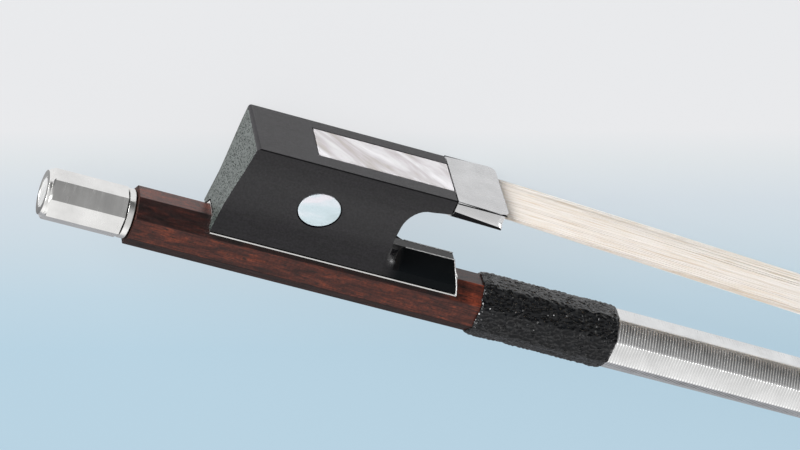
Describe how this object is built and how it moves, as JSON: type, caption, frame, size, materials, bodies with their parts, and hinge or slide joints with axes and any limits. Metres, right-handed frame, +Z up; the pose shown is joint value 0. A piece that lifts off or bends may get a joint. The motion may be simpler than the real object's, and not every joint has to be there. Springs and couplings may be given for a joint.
{
  "type": "violin bow",
  "caption": "Full-size octagonal violin bow with a pearl-eyed ebony frog, silver ferrule and screw button, leather grip and wire winding.",
  "frame": {"origin": "middle of the bounding box's base: the bow lies on its side on z = 0", "axes": "+X from the button to the head, +Y from the stick towards the hair, +Z up, out of the cheek that the picture shows"},
  "size_m": [0.7418, 0.055, 0.0152],
  "materials": {
    "pernambuco": "oiled and polished reddish-brown hardwood",
    "ebony": "polished black hardwood",
    "silver": "polished silver",
    "mother_of_pearl": "polished shell",
    "horsehair": "natural white hair",
    "leather": "black pebbled leather",
    "brass": "turned brass",
    "steel": "plain steel",
    "maple": "bare pale wood",
    "bone": "polished bone",
    "thread": "waxed thread"
  },
  "bodies": {
    "stick": {"stick": "pernambuco", "head_plate": "bone", "head_plate_lining": "ebony", "head_plug": "maple", "head_knot": "horsehair", "head_knot_thread": "thread", "hair": "horsehair", "thumb_grip": "leather", "wire_winding": "silver"},
    "frog": {"frog_body": "ebony", "underslide": "silver", "underslide_pin_rear": "silver", "underslide_pin_front": "silver", "eyelet": "brass", "pearl_slide": "mother_of_pearl", "slide_wood": "ebony", "ferrule": "silver", "ferrule_wedge": "maple", "frog_plug": "maple", "frog_knot": "horsehair", "frog_knot_thread": "thread", "pearl_eye_near": "mother_of_pearl", "pearl_eye_far": "mother_of_pearl"},
    "screw": {"screw": "steel", "button_core": "ebony", "button_sleeve": "silver", "button_collar": "silver", "button_end_ring": "silver", "button_pearl": "mother_of_pearl"}
  },
  "joints": [
    {"name": "frog_slide", "type": "slide", "parent": "stick", "child": "frog", "axis": [1, 0, 0], "range_m": [-0.004, 0.0036], "deforming": ["hair"]},
    {"name": "screw_turn", "type": "hinge", "parent": "stick", "child": "screw", "pos_m": [-0.35663, 0.00701, 0.0076], "axis": [1, 0, 0], "range_deg": [-1620, 1800]}
  ],
  "couplings": [
    {"joint": "screw_turn", "follows": "frog_slide", "rad_per_m": -7853}
  ]
}
